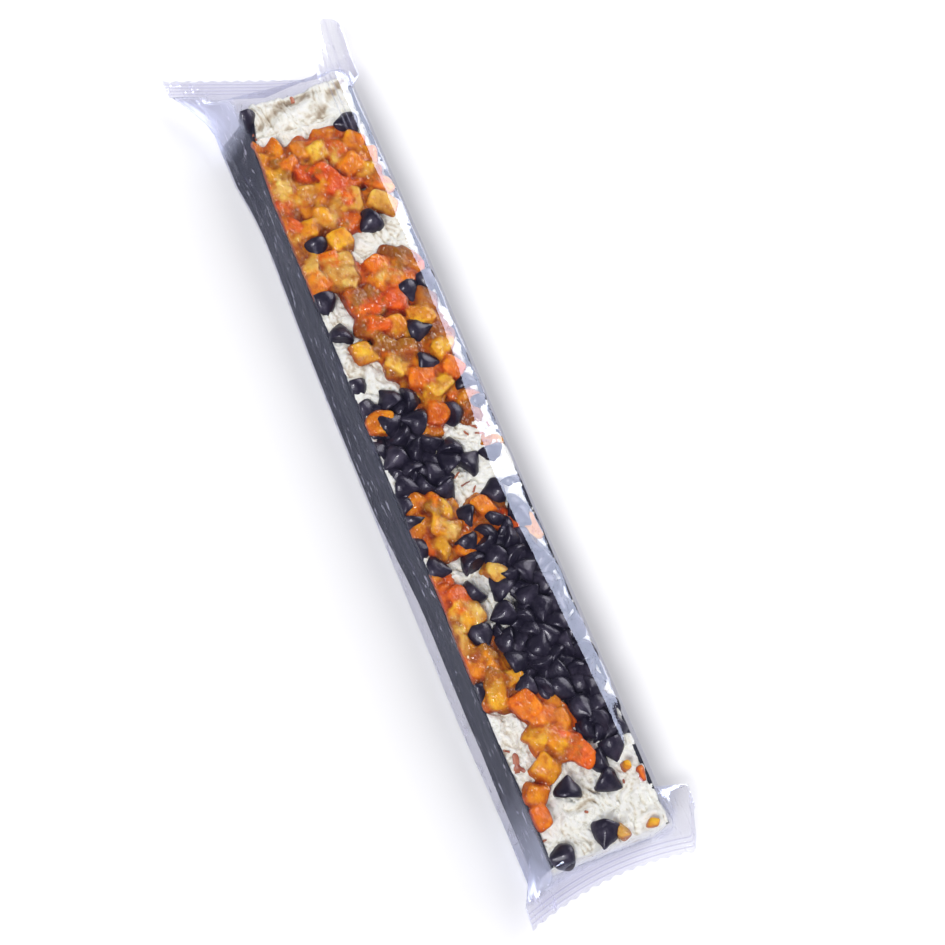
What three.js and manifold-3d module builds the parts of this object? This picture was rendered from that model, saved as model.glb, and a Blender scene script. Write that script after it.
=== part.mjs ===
// Nougat bar in a clear sealed wrapper, one solid with its toppings showing on top.
// Millimetres, +Z up. X runs along the bar, Y across it, and the origin is the middle of its base.
import * as THREE from "three";
import { mergeVertices } from "three/addons/utils/BufferGeometryUtils.js";
import Module from "manifold-3d";

const wasm = await Module();
wasm.setup();

// Bar and wrapper
const BAR_LENGTH = 292;
const BAR_WIDTH = 46;
const NOUGAT_HEIGHT = 22;
const FILM_GAP = 0.5;
const LEFT_TOP = 21.7;
const LEFT_BASE = 25.4;
const FAR_FLARE = 3.3;
const BASE_END = 146.8;
const SHOULDER_DROP = 2.6;
const HALF_SHEET = 36.5;
const SEAM_HEIGHT = 11.5;
const SHEET_CELLS = 36;
const BODY_CELLS = 26;
const LUMP_HEIGHT = 0.4;

// Crimped fins
const FIN_THICKNESS = 1;
const CRIMP_ROWS = 8;
const CRIMP_HEIGHT = 0.4;
const TOOTH_DEPTH = 0.6;

// Toppings
const CHIP_RADIUS = 4.7;
const CHIP_HEIGHT = 7.4;
const CHIP_SIDES = 7;
const DIE_SIZE = 8.5;
const TOPPING_BASE = 18;
const TOPPING_LIMIT = 26.6;
const SEED = 20261;

const HALF_LENGTH = BAR_LENGTH / 2;
const HALF_WIDTH = BAR_WIDTH / 2;

function smooth(from, to, value) {
  const t = THREE.MathUtils.clamp((value - from) / (to - from), 0, 1);
  return t * t * (3 - 2 * t);
}

// The wrapper is two sheets, sealed along a seam at mid height on each side.
// Half of the cross-section of each sheet, from the middle line out to that seam.
function halfSection(points) {
  const path = new THREE.CurvePath();
  for (let i = 1; i < points.length; i += 1) {
    const from = new THREE.Vector3(0, ...points[i - 1]);
    const to = new THREE.Vector3(0, ...points[i]);
    path.add(new THREE.LineCurve3(from, to));
  }
  return path;
}

// The right side stands upright and the left side leans out to its base.
function sideSections(top, base) {
  const seam = (top + base) / 2;
  const upper = halfSection([
    [0, NOUGAT_HEIGHT],
    [top - 3.2, NOUGAT_HEIGHT],
    [top - 0.9, NOUGAT_HEIGHT - 0.8],
    [top, NOUGAT_HEIGHT - SHOULDER_DROP],
    [seam, SEAM_HEIGHT],
  ]);
  const lower = halfSection([
    [0, 0],
    [base - 0.8, 0],
    [base, 0.8],
    [seam, SEAM_HEIGHT],
  ]);
  return { upper, lower };
}

const sections = {
  left: sideSections(LEFT_TOP, LEFT_BASE),
  right: sideSections(HALF_WIDTH + FILM_GAP, HALF_WIDTH + FILM_GAP + 0.3),
};

// Each end of the wrapper: where its sheets leave the bar, where the fin starts and where it ends.
// The lower sheet leaves the base equally far out at both ends. The far end bulges at its top.
function nearEdge(y) {
  return 154.8 + 0.0042 * (y - 9) ** 2 - 15 * smooth(31, 38, y);
}

// The far fin runs out in a long loose lobe on its right.
function farEdge(y) {
  const lobe = 19 * smooth(15.5, 24.5, y) - 5 * smooth(28, 32, y);
  return 163.1 - 0.29 * Math.min(y, 10) + lobe;
}

function farRoot(y) {
  return y < -6 ? 154.6 - 0.29 * y : Math.min(157.6 + 0.2 * y, farEdge(y) - 1.5);
}

const NEAR_END = {
  topEnd: BASE_END,
  earFrom: { left: 139, right: 131 },
  earTo: { left: 154, right: 135 },
  earPower: 1,
  reach: { left: 0.84, right: 1.03 },
  root: (y) => nearEdge(y) - 6.4,
  edge: nearEdge,
  height: (y, out) => SEAM_HEIGHT - 2 * out,
};
const FAR_END = {
  topEnd: 150.3,
  earFrom: { left: 130, right: 143 },
  earTo: { left: 167, right: 155 },
  earPower: 2,
  reach: { left: 1.077, right: 0.86 },
  root: farRoot,
  edge: farEdge,
  height: (y, out) => SEAM_HEIGHT - 1.5 * out + 6 * out * smooth(12, 24, y),
};

// Uneven height of the torn nougat, about one lump to every few millimetres.
function lump(x, y) {
  const wave = Math.sin(Math.round(x / 10) * 12.9898 + Math.round(y / 7) * 78.233) * 43758.5453;
  return LUMP_HEIGHT * (2 * (wave - Math.floor(wave)) - 1);
}

// One point of the wrapper: s runs across the sheet from seam to seam, x along the bar.
function bodyPoint(x, s, upper) {
  const side = sections[s < 0 ? "left" : "right"];
  const section = upper ? side.upper : side.lower;
  const point = section.getPointAt(Math.min(1, Math.abs(s) / HALF_SHEET));
  let y = Math.sign(s) * point.y;
  let z = point.z;
  if (s < 0) {
    const low = 1 - z / NOUGAT_HEIGHT;
    y *= 1 + (FAR_FLARE / LEFT_BASE) * smooth(-104, -152, x) * low;
  }
  if (upper && z > NOUGAT_HEIGHT - 0.1) {
    z += lump(x, y);
  }
  return new THREE.Vector3(x, y, z);
}

function endPoint(end, direction, row, s, cell, upper) {
  const side = s < 0 ? "left" : "right";
  const across = s * end.reach[side];
  const ear = smooth(0.62, 1, Math.abs(s) / HALF_SHEET);
  const root = end.root(across);
  const along = row.fin > 0
    ? THREE.MathUtils.lerp(root, end.edge(across), row.fin)
    : THREE.MathUtils.lerp(HALF_LENGTH - 16, root, row.tent);
  const from = THREE.MathUtils.lerp(upper ? end.topEnd : BASE_END, end.earFrom[side], ear);
  const to = THREE.MathUtils.lerp(root, end.earTo[side], ear);
  const taken = THREE.MathUtils.clamp((along - from) / (to - from), 0, 1);
  const closing = THREE.MathUtils.lerp(smooth(0, 1, taken), taken ** end.earPower, ear);
  const flat = row.fin > 0 ? 1 : closing;
  const crimp = row.fin > 0 ? row.crimp * CRIMP_HEIGHT : 0;
  const tooth = row.fin === 1 ? TOOTH_DEPTH * (cell % 2 === 0 ? 0.5 : -0.5) : 0;
  const onBar = bodyPoint(direction * along, s, upper);
  const lift = (upper ? 0.5 : -0.5) * FIN_THICKNESS;
  const onFin = new THREE.Vector3(
    direction * (along + tooth),
    across,
    end.height(across, row.fin) + crimp + lift,
  );
  const point = onBar.clone().lerp(onFin, flat);
  point.x = onFin.x;
  return point;
}

// Rows of one end, from the bar to the edge of the fin.
function endRows() {
  const rows = [];
  for (const tent of [0.35, 0.62, 0.8, 0.9, 1]) {
    rows.push({ tent, fin: 0, crimp: 0 });
  }
  for (let i = 1; i <= CRIMP_ROWS; i += 1) {
    rows.push({ tent: 1, fin: i / CRIMP_ROWS, crimp: i % 2 === 0 ? 1 : -1 });
  }
  return rows;
}

// A box cut into cells, each of whose points is moved to its place on the wrapper.
function wrapper() {
  const ends = endRows();
  const cellsLong = BODY_CELLS + 2 * ends.length;
  const box = new THREE.BoxGeometry(cellsLong, SHEET_CELLS, 1, cellsLong, SHEET_CELLS, 1);
  const position = box.attributes.position;
  for (let i = 0; i < position.count; i += 1) {
    const column = Math.round(position.getX(i) + cellsLong / 2);
    const cell = Math.round(position.getY(i) + SHEET_CELLS / 2);
    const upper = position.getZ(i) > 0;
    const s = (cell / SHEET_CELLS - 0.5) * 2 * HALF_SHEET;
    const inBody = column - ends.length;
    let point;
    if (inBody < 0) {
      point = endPoint(FAR_END, -1, ends[-inBody - 1], s, cell, upper);
    } else if (inBody > BODY_CELLS) {
      point = endPoint(NEAR_END, 1, ends[inBody - BODY_CELLS - 1], s, cell, upper);
    } else {
      const x = (inBody / BODY_CELLS - 0.5) * (BAR_LENGTH - 32);
      point = bodyPoint(x, s, upper);
    }
    if (Math.abs(s) > HALF_SHEET - 0.01) {
      point.z += upper ? 0.25 : -0.25;
    }
    position.setXYZ(i, point.x, point.y, point.z);
  }
  return box;
}

// Even random numbers from a seed, the same on every run.
function randomFrom(seed) {
  let state = seed;
  return () => {
    state = (state * 16807) % 2147483647;
    return state / 2147483647;
  };
}

// Places inside a rectangle, none nearer to another than the spacing.
function scatter(random, zone, spacing) {
  const [x0, x1, y0, y1] = zone;
  const places = [];
  for (let i = 0; i < 400; i += 1) {
    const x = x0 + (x1 - x0) * random();
    const y = y0 + (y1 - y0) * random();
    if (places.every((p) => Math.hypot(p.x - x, p.y - y) > spacing)) {
      places.push({ x, y });
    }
  }
  return places;
}

// Chips placed one by one: along the bar, across it, and the way the tip points.
const SINGLE_CHIPS = [
  [-144, -19, 0], [-131, 15, 270], [-91, 9, 300], [-87, -13, 0], [-66, -18, 0],
  [-53, -17, 160], [-61, 12, 10], [-63, 20, 0], [-46, 10, 85], [-33, 8, 75],
  [-32, -19, 0], [-22, -3, 80], [-13, 10, 100], [-14, 20, 0], [-23, 18, 180],
  [19, 12, 270], [39, -17, 60], [51, -9, 300], [61, -2, 280], [66, -12, 0],
  [87, -5, 280], [119, 9, 270], [126, 9, 45], [124, -5, 160], [142, 1, 330],
  [144, -16, 265], [84, -20, 0], [116, 15, 0],
  [-23, -19, 20], [-24, -10, 200], [-14, -4.5, 250], [-10, -11, 30], [-9, -20, 140],
  [-3, -16, 300], [2, -12, 190], [-5, -2, 330], [6, -5, 80], [4, 1, 210], [13, -4, 20],
  [6, 8, 120], [5, 17, 0], [13, -20, 200], [21, -18, 340], [30, -19, 90], [18, 20, 0],
  [24, -0.5, 240], [34, -4, 10], [32, 4, 130], [40, -5, 200], [37, 11, 60], [52, 1, 210],
  [70, -5, 250], [78, -4, 100],
];
// Heaps: from and to along the bar, from and to across it.
const CHIP_HEAPS = [
  [42, 82, 4, 20], [66, 92, -5, 8], [82, 110, 7, 20], [26, 44, 6, 18],
];
const DICE_ZONES = [
  [-129, -94, -21, 18], [-93, -72, -21, -3], [-76, -42, -11, 18], [-44, -10, -7, 18],
  [-20, -14, -20, -12], [14, 36, -17, -2], [19, 31, 3, 13], [44, 90, -21, -13],
  [66, 79, -14, -8], [90, 112, -10, 3], [108, 118, -10, 6], [114, 132, -18, -10],
];

function chipShape() {
  const profile = [
    [0, 0], [0.92, 0.04], [0.96, 0.32], [0.46, 0.78], [0, 1],
  ].map(([r, h]) => new THREE.Vector2(r * CHIP_RADIUS, h * CHIP_HEIGHT));
  const chip = new THREE.LatheGeometry(profile, CHIP_SIDES);
  chip.translate(0, -CHIP_HEIGHT * 0.35, 0);
  return chip;
}

function placed(geometry, turn, tilt, x, y, z) {
  geometry.rotateZ(tilt);
  geometry.rotateX(Math.PI / 2);
  geometry.rotateZ(turn);
  geometry.translate(x, y, z);
  return geometry;
}

function chips(random) {
  const places = SINGLE_CHIPS.map(([x, y, degrees]) => {
    return { x, y, turn: THREE.MathUtils.degToRad(degrees) };
  });
  for (const heap of CHIP_HEAPS) {
    for (const place of scatter(random, heap, 7.4)) {
      if (places.every((p) => Math.hypot(p.x - place.x, p.y - place.y) > 6.6)) {
        places.push({ ...place, turn: 2 * Math.PI * random() });
      }
    }
  }
  return places.map(({ x, y, turn }) => {
    const tilt = -Math.PI / 2 + 0.5 * (random() - 0.5);
    const z = NOUGAT_HEIGHT - 0.8 + 0.9 * random();
    return placed(chipShape(), turn, tilt, x, y, z);
  });
}

function dice(random) {
  const pieces = [];
  for (const zone of DICE_ZONES) {
    for (const { x, y } of scatter(random, zone, 8.6)) {
      const long = DIE_SIZE * (0.85 + 0.5 * random());
      const wide = DIE_SIZE * (0.75 + 0.35 * random());
      const die = new THREE.BoxGeometry(long, 6, wide);
      const turn = Math.PI * random();
      const z = NOUGAT_HEIGHT - 1.4 + 0.8 * random();
      pieces.push(placed(die, turn, 0.3 * (random() - 0.5), x, y, z));
    }
  }
  return pieces;
}

function toManifold(geometry) {
  geometry.deleteAttribute("normal");
  geometry.deleteAttribute("uv");
  const merged = mergeVertices(geometry, 1e-4);
  const mesh = new wasm.Mesh({
    numProp: 3,
    vertProperties: new Float32Array(merged.attributes.position.array),
    triVerts: new Uint32Array(merged.index.array),
  });
  return new wasm.Manifold(mesh);
}

function toGeometry(solid) {
  const mesh = solid.getMesh();
  const geometry = new THREE.BufferGeometry();
  geometry.setAttribute("position", new THREE.BufferAttribute(mesh.vertProperties, 3));
  geometry.setIndex(new THREE.BufferAttribute(mesh.triVerts, 1));
  geometry.computeVertexNormals();
  return geometry;
}

function wrappedBar() {
  const random = randomFrom(SEED);
  const toppings = [...chips(random), ...dice(random)].map(toManifold);
  // The toppings end at the cut sides of the bar and under the film.
  const room = new THREE.BoxGeometry(BAR_LENGTH + 4, BAR_WIDTH, TOPPING_LIMIT - TOPPING_BASE);
  room.translate(0, 0, (TOPPING_LIMIT + TOPPING_BASE) / 2);
  const trimmed = wasm.Manifold.union(toppings).intersect(toManifold(room));
  const joined = toManifold(wrapper()).add(trimmed).simplify(0.1);
  // Closed hollows under heaped toppings are filled by keeping the outer skin alone.
  const skins = joined.decompose();
  return skins.reduce((best, skin) => (skin.volume() > best.volume() ? skin : best));
}

const group = new THREE.Group();
const film = new THREE.MeshStandardMaterial({ color: 0xe6e2cf, roughness: 0.35, metalness: 0 });
const bar = new THREE.Mesh(toGeometry(wrappedBar()), film);
bar.name = "wrapped_bar";
group.add(bar);

export default group;
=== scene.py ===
# %% [markdown]
# # A nougat bar in a clear wrapper
# The bar lies on its broad face. Soft white nougat carries chocolate chips and candied orange, a dark
# chocolate coat covers the base and the long sides, and a clear lilac film closes over all of it with a
# crimped fin at each end. The CAD model is one closed solid, so every piece here stands in its place.

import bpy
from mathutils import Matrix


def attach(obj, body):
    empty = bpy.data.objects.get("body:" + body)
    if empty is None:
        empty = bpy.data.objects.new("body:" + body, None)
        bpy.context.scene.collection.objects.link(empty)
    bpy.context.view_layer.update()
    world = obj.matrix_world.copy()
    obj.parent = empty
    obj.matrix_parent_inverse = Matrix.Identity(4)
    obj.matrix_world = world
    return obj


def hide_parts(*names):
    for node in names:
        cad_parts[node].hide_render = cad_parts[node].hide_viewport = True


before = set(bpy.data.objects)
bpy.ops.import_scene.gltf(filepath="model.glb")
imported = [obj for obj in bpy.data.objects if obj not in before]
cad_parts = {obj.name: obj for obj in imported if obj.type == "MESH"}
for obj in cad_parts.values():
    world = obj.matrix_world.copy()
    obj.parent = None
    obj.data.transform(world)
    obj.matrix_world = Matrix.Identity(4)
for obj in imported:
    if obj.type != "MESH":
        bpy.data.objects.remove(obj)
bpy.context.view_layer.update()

# %% [markdown]
# ## Units, steps and chance
# Sizes are easier to read in millimetres, so every piece is shaped in them and scaled once at the end.
# A small number generator with a fixed seed scatters the toppings, so each run gives the same bar.

# %% Shared helpers
import math

import bmesh
import bpy
import numpy as np
from mathutils import Euler, Matrix, Vector, kdtree, noise

MM = 0.001
BAR_LENGTH = 292
BAR_WIDTH = 46
HALF_LENGTH = BAR_LENGTH / 2
HALF_WIDTH = BAR_WIDTH / 2


def smooth(start, end, value):
    t = np.clip((value - start) / (end - start), 0, 1)
    return t * t * (3 - 2 * t)


def blend(first, second, share):
    return first + (second - first) * share


def randoms(seed):
    state = seed
    while True:
        state = state * 16807 % 2147483647
        yield state / 2147483647


def rough(x, y, size, seed=0.0):
    """Soft noise from about -1 to 1 with lumps of the given size in millimetres."""
    return noise.noise(Vector((x / size + seed, y / size - seed, seed * 1.7)))


def points_of(piece):
    points = np.empty(len(piece.data.vertices) * 3)
    piece.data.vertices.foreach_get("co", points)
    return points.reshape(-1, 3)


def set_points(piece, points):
    piece.data.vertices.foreach_set("co", points.ravel())
    piece.data.update()


def pick(piece):
    """Makes a piece the active one and the only one selected."""
    bpy.ops.object.select_all(action="DESELECT")
    piece.select_set(True)
    bpy.context.view_layer.objects.active = piece


def finish_piece(piece, name, angle=180):
    """Scales a piece from millimetres to metres, applies that and shades it smooth."""
    pick(piece)
    piece.name = name
    piece.scale = (MM, MM, MM)
    bpy.ops.object.transform_apply(location=True, rotation=True, scale=True)
    bpy.ops.object.shade_smooth_by_angle(angle=math.radians(angle))
    print(name, len(piece.data.vertices), "points,", len(piece.data.polygons), "faces")


# %% [markdown]
# ## Reading creases from a mesh
# Shade gathers in creases, so the nougat and the orange darken their creases with what is read here, as
# painted shade. A point that lies below the mean of its neighbours is in a crease. The result is smoothed
# over a few rings of neighbours and kept as an attribute from -1 on ridges to 1 in creases. Deep folds are
# added.

# %% Crease attribute
def neighbour_means(piece):
    """Gives a function that averages values over the neighbours of each point."""
    mesh = piece.data
    ends = np.empty(len(mesh.edges) * 2, dtype=np.int32)
    mesh.edges.foreach_get("vertices", ends)
    first, second = ends.reshape(-1, 2).T
    count = np.bincount(ends, minlength=len(mesh.vertices))

    def mean_of(values):
        total = np.bincount(first, values[second], len(count))
        total += np.bincount(second, values[first], len(count))
        return total / count

    return mean_of


def keep_creases(piece, rings, folds=0):
    mean_of = neighbour_means(piece)
    normals = np.empty(len(piece.data.vertices) * 3)
    piece.data.vertex_normals.foreach_get("vector", normals)
    points = points_of(piece)
    means = np.stack([mean_of(points[:, axis]) for axis in range(3)], axis=1)
    crease = ((means - points) * normals.reshape(-1, 3)).sum(axis=1)
    for ring in range(rings):
        crease = (crease + mean_of(crease)) / 2
    crease = np.clip(crease / np.percentile(np.abs(crease), 96), -1, 1) + folds
    piece.data.attributes.new("crease", "FLOAT", "POINT").data.foreach_set("value", crease)


# %% [markdown]
# ## How the film lies
# The film is taut over the toppings and falls to the long sides at two shoulders. The right shoulder is
# a broad slope with a slight crease where it starts, which is where a window light shows as a long pale
# band. The left side leans outwards to the base. Formulas for these lines are used again and again: to
# lay the film, to shape the bar inside it, and to keep every topping under it.

# %% Height and edges of the film over the bar
FILM_CROWN = 26.95
RIGHT_SHOULDER = HALF_WIDTH + 0.6
SEAM_HEIGHT = 11.5
LEFT_SHOULDER = 21.2
LEFT_BASE = 25.6


def left_shoulder(x):
    dip = 0.7 * np.exp(-((x - 48) / 14) ** 2)
    return LEFT_SHOULDER - dip - smooth(105, 130, x) - smooth(-108, -128, x)


def left_base(x):
    waist = 1.3 * np.exp(-((x + 105) / 35) ** 2)
    return LEFT_BASE - waist - 1.2 * smooth(80, 135, x) + 3.3 * smooth(-104, -152, x)


def left_seam(x):
    return (left_shoulder(x) + left_base(x)) / 2 + 0.3 + 3 * smooth(-100, -150, x)


def film_top(x, y):
    start = 17.6 - 4.4 * np.exp(-((x - 12) / np.where(x < 12, 35, 60)) ** 2)
    right = np.maximum(0, y - start)
    left = np.maximum(0, 5.5 - left_shoulder(x) - y)
    bend = 0.265 / (RIGHT_SHOULDER - start)
    return FILM_CROWN - 0.2 * right - bend * right**2 - 0.1 * left - 0.05 * left**2


shoulder_heights = film_top(0, np.array([-LEFT_SHOULDER, 0, RIGHT_SHOULDER]))
print("film height at the left shoulder, the middle and the right shoulder:", shoulder_heights)

# %% [markdown]
# ## Cross-sections of the film
# The wrapper is two sheets that meet in a seam at mid height. A section is drawn as a path from the
# middle line over the shoulder to the seam and then cut into equal lengths, so that the cells of the
# mesh stay even and the sheet isn't stretched. Towards the far end the left seam swings out to the fin.

# %% Section of one sheet
FILM_COLUMNS = 112
HALF_SHARES = np.linspace(0, 1, FILM_COLUMNS // 2 + 1)


def along_path(path_y, path_z):
    steps = np.hypot(np.diff(path_y), np.diff(path_z))
    run = np.concatenate(([0], np.cumsum(steps)))
    at = HALF_SHARES * run[-1]
    return np.interp(at, run, path_y), np.interp(at, run, path_z)


def half_section(x, side, upper):
    if side > 0:
        shoulder, seam, base = RIGHT_SHOULDER, RIGHT_SHOULDER + 0.3, RIGHT_SHOULDER + 0.2
    else:
        shoulder, seam, base = left_shoulder(x), left_seam(x), left_base(x)
    if upper:
        y = np.linspace(0, shoulder, 60)
        z = film_top(x, side * y)
        path_y = [*y, shoulder + 0.3, shoulder + 0.5, seam]
        path_z = [*z, z[-1] - 0.35, z[-1] - 1.0, SEAM_HEIGHT]
    else:
        path_y = [0, base - 1.2, base - 0.3, base, seam]
        path_z = [0.1, 0.1, 0.4, 1.2, SEAM_HEIGHT]
    return along_path(path_y, path_z)


def film_section(x, upper):
    left_y, left_z = half_section(x, -1, upper)
    right_y, right_z = half_section(x, 1, upper)
    y = np.concatenate((-left_y[:0:-1], right_y))
    z = np.concatenate((left_z[:0:-1], right_z))
    return y, z


print("seam to seam at the middle of the bar:", film_section(0, True)[0][[0, -1]])

# %% [markdown]
# ## The ends of the film
# Past the bar the two sheets close like a tent and are sealed flat in a fin with crimp lines and a
# scalloped edge. Each end gets its own outline: where the sheets leave the bar, where the fin starts,
# how far it reaches on each side and where it ends. The corners close earlier, as ears, and the far
# fin has a long loose lobe on its right.

# %% Shapes of the two ends
HALF_SHEET = 36.5
SHEET = np.linspace(-HALF_SHEET, HALF_SHEET, FILM_COLUMNS + 1)
SIDE = smooth(0.6, 0.7, np.abs(SHEET) / HALF_SHEET)
SLACK = SIDE * np.where(SHEET < 0, 1, 0.25)


def near_edge(y):
    return 154.8 + 0.0042 * (y - 9) ** 2 - 15 * smooth(31, 38, y)


def far_edge(y):
    lobe = 19 * smooth(15.5, 24.5, y) - 5 * smooth(28, 32, y)
    return 163.1 - 0.29 * np.minimum(y, 10) + lobe


def far_crease(y):
    return 157.6 + 0.2 * y


def far_root(y):
    inner = np.minimum(far_crease(y), far_edge(y) - 1.5)
    return np.where(y < -6, 154.6 - 0.29 * y, inner)


NEAR_END = {
    "direction": 1,
    "top_end": 146.8,
    "ear_from": (139, 131),
    "ear_to": (154, 135),
    "ear_power": 1,
    "reach": (0.84, 1.03),
    "root": lambda y: near_edge(y) - 6.4,
    "edge": near_edge,
    "height": lambda y, out: SEAM_HEIGHT - 2 * out,
}
FAR_END = {
    "direction": -1,
    "top_end": 150.3,
    "ear_from": (130, 143),
    "ear_to": (167, 155),
    "ear_power": 2,
    "reach": (1.077, 0.86),
    "root": far_root,
    "edge": far_edge,
    "height": lambda y, out: SEAM_HEIGHT - 1.5 * out + 6 * out * smooth(12, 24, y),
}

# %% [markdown]
# ## Crimps and wrinkles
# The sealing jaws press a few fine ridges into each fin, in line with its edge. Between the fin and the
# bar the sheets gather in folds that run along the bar and fade out where the film is taut. Pressed and
# gathered film passes less light and scatters some of it, so each row also gives how strongly the film
# is pressed there, how milky it looks and how slack it hangs, from 0 to 1, for the finish to read. The
# pressing also holds painted shade, darker on the long sides and past the far crease, and painted light,
# lighter on the right of the near fin.

# %% One row of film past the end of the bar
BODY_END = 130
BASE_END = 146.8
CRIMP_PITCH = 1.6
CRIMP_BAND = (0.9, 7.6)
CRIMP_HEIGHT = 0.2
UPPER_FOLDS = 0.25
LOWER_FOLDS = 0.08
SCALLOP = 4.3
SCALLOP_DEPTH = 0.35
SHEET_GAP = 0.06
STREAK_COLUMNS = [77, 80]


def left_fold(x):
    """How milky the left side is, where it gathers before each fin."""
    return 0.7 * (smooth(112, 146, x) + smooth(-134, -146, x)) * SIDE * (SHEET < 0)


def streaks(x):
    """Two thin rubbed lines on the right of the film, near its far end."""
    lines = np.zeros_like(SHEET)
    lines[STREAK_COLUMNS] = 0.5 * smooth(-124, -130, x) * smooth(-153, -147, x)
    return lines


def end_row(end, tent, fin, upper):
    """Points and pressing, with its painted shade, across one sheet, for a row in the tent or some way out
    along the fin.
    """
    left = SHEET < 0
    across = SHEET * np.where(left, *end["reach"])
    ear = smooth(0.62, 1, np.abs(SHEET) / HALF_SHEET)
    far = end is FAR_END
    lobe = smooth(10, 16, across) * far
    root = end["root"](across)
    if fin > 0:
        along = blend(root, end["edge"](across), fin)
        flat = np.ones_like(along)
    else:
        along = blend(BODY_END, root, tent)
        leaves = blend(end["top_end"] if upper else BASE_END, np.where(left, *end["ear_from"]), ear)
        meets = blend(root, np.where(left, *end["ear_to"]), ear)
        taken = np.clip((along - leaves) / (meets - leaves), 0, 1)
        flat = blend(smooth(0, 1, taken), taken ** end["ear_power"], ear)
    body_y, body_z = film_section(end["direction"] * BODY_END, upper)
    inside = end["edge"](across) - along
    first, last = CRIMP_BAND
    banded = smooth(first - 0.5, first, inside) * smooth(last, last - 0.5, inside)
    wave = np.sin(2 * math.pi * inside / CRIMP_PITCH) * banded * (1 - lobe) * (fin > 0)
    lift = SHEET_GAP if upper else -SHEET_GAP
    fin_z = end["height"](across, fin) + CRIMP_HEIGHT * wave + lift
    folds = np.sin(0.55 * across + 2 * np.sin(0.21 * across)) + 0.5 * np.sin(1.7 * across)
    gathered = 4 * flat * (1 - flat)
    z = blend(body_z, fin_z, flat) + (UPPER_FOLDS if upper else LOWER_FOLDS) * gathered * folds
    z = z + 0.05 * lobe * np.sin(2.1 * across) * flat
    scallop = SCALLOP_DEPTH * (np.cos(2 * math.pi * across / SCALLOP) - 1) * smooth(0.85, 1, fin)
    points = np.stack((end["direction"] * (along + scallop), blend(body_y, across, flat), z), axis=1)
    fold_line = (0.5 + 0.5 * np.sin(1.9 * across + 3 * np.sin(0.3 * across))) ** 4
    # The long sides get more pressing as painted shade.
    pressed_and_painted_shade = 0.3 * np.maximum(flat, SIDE) + 0.8 * np.maximum(0, wave) ** 2
    pressed_and_painted_shade += (0.4 * gathered + 0.3 * lobe) * fold_line
    # Less pressing on the right of the near fin is painted light against the bar's shadow.
    pressed_and_painted_shade -= 0.2 * lobe + (0 if far else 0.22) * smooth(0, 28, across)
    milky = 0.08 * flat + 0.25 * gathered + 0.4 * gathered * ear * left
    milky += left_fold(points[:, 0]) * (1 - flat)
    if far and upper:
        # Past the far crease the upper sheet is darker as painted shade of the tent, beside the crease line
        # itself.
        before = far_crease(across) - along
        pressed_and_painted_shade += 0.4 * smooth(-0.4, 0.4, before) * flat + 0.5 * np.exp(-((before / 0.5) ** 2)) * (1 - lobe)
        milky += streaks(points[STREAK_COLUMNS[0], 0])
    return points, pressed_and_painted_shade, milky, np.maximum(SLACK, gathered)


# %% [markdown]
# ## The film as one mesh
# A grid is extruded once, which gives two sheets joined all round. Each of its points is then moved to
# its place on the film by row and column. Wrapping a flat sheet this way keeps the fold lines where the
# real sheet has them, which cloth simulation would only reach after a long search.

# %% Rows of the whole film
BODY_ROWS = 170
TENT_ROWS = 24
FIN_ROWS = 56
END_ROWS = TENT_ROWS + FIN_ROWS
FILM_ROWS = BODY_ROWS + 2 * END_ROWS
LOOSE_WAVE = 0.08


def film_row(row, upper):
    past = END_ROWS - row if row < END_ROWS else row - END_ROWS - BODY_ROWS
    if past > 0:
        end = FAR_END if row < END_ROWS else NEAR_END
        return end_row(end, min(1, past / TENT_ROWS), max(0, (past - TENT_ROWS) / FIN_ROWS), upper)
    x = blend(-BODY_END, BODY_END, (row - END_ROWS) / BODY_ROWS)
    y, z = film_section(x, upper)
    wave = np.sin(0.23 * x + 1.4 * np.sin(0.17 * y)) * np.sin(0.11 * x - 0.3 * y)
    points = np.stack((np.full_like(y, x), y, z + (LOOSE_WAVE if upper else 0) * wave), axis=1)
    milky = left_fold(x) + (streaks(x) if upper else 0)
    # The long sides of the film are darker as painted shade.
    return points, 0.3 * SIDE, milky, SLACK


def film_sheet(upper):
    laid_rows = [film_row(row, upper) for row in range(FILM_ROWS + 1)]
    points, *layers = (np.array(values) for values in zip(*laid_rows))
    points[:, [0, -1], 2] += SHEET_GAP if upper else -SHEET_GAP
    return points, *layers


# %% Mesh editing helpers
def edit_all():
    bpy.ops.object.mode_set(mode="EDIT")
    bpy.ops.mesh.select_all(action="SELECT")


def extrude_up(rise):
    bpy.ops.mesh.extrude_region_move(TRANSFORM_OT_translate={"value": (0, 0, rise)})


def end_edit():
    """Turns every face outwards and leaves edit mode."""
    bpy.ops.mesh.select_all(action="SELECT")
    bpy.ops.mesh.normals_make_consistent(inside=False)
    bpy.ops.object.mode_set(mode="OBJECT")


# %% Lay the film
bpy.ops.mesh.primitive_grid_add(x_subdivisions=FILM_ROWS, y_subdivisions=FILM_COLUMNS, size=2)
film = bpy.context.object
edit_all()
extrude_up(1)
bpy.ops.object.mode_set(mode="OBJECT")
flat_points = points_of(film)
rows = np.rint((flat_points[:, 0] + 1) / 2 * FILM_ROWS).astype(int)
columns = np.rint((flat_points[:, 1] + 1) / 2 * FILM_COLUMNS).astype(int)
on_top = flat_points[:, 2] > 0.5
upper_sheet = [values[rows, columns] for values in film_sheet(True)]
lower_sheet = [values[rows, columns] for values in film_sheet(False)]
set_points(film, np.where(on_top[:, None], upper_sheet[0], lower_sheet[0]))
for name, above, below in zip(("pressed_and_painted_shade", "milky", "slack"), upper_sheet[1:], lower_sheet[1:]):
    layer = film.data.attributes.new(name, "FLOAT", "POINT")
    layer.data.foreach_set("value", np.where(on_top, above, below))
edit_all()
end_edit()
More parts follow.
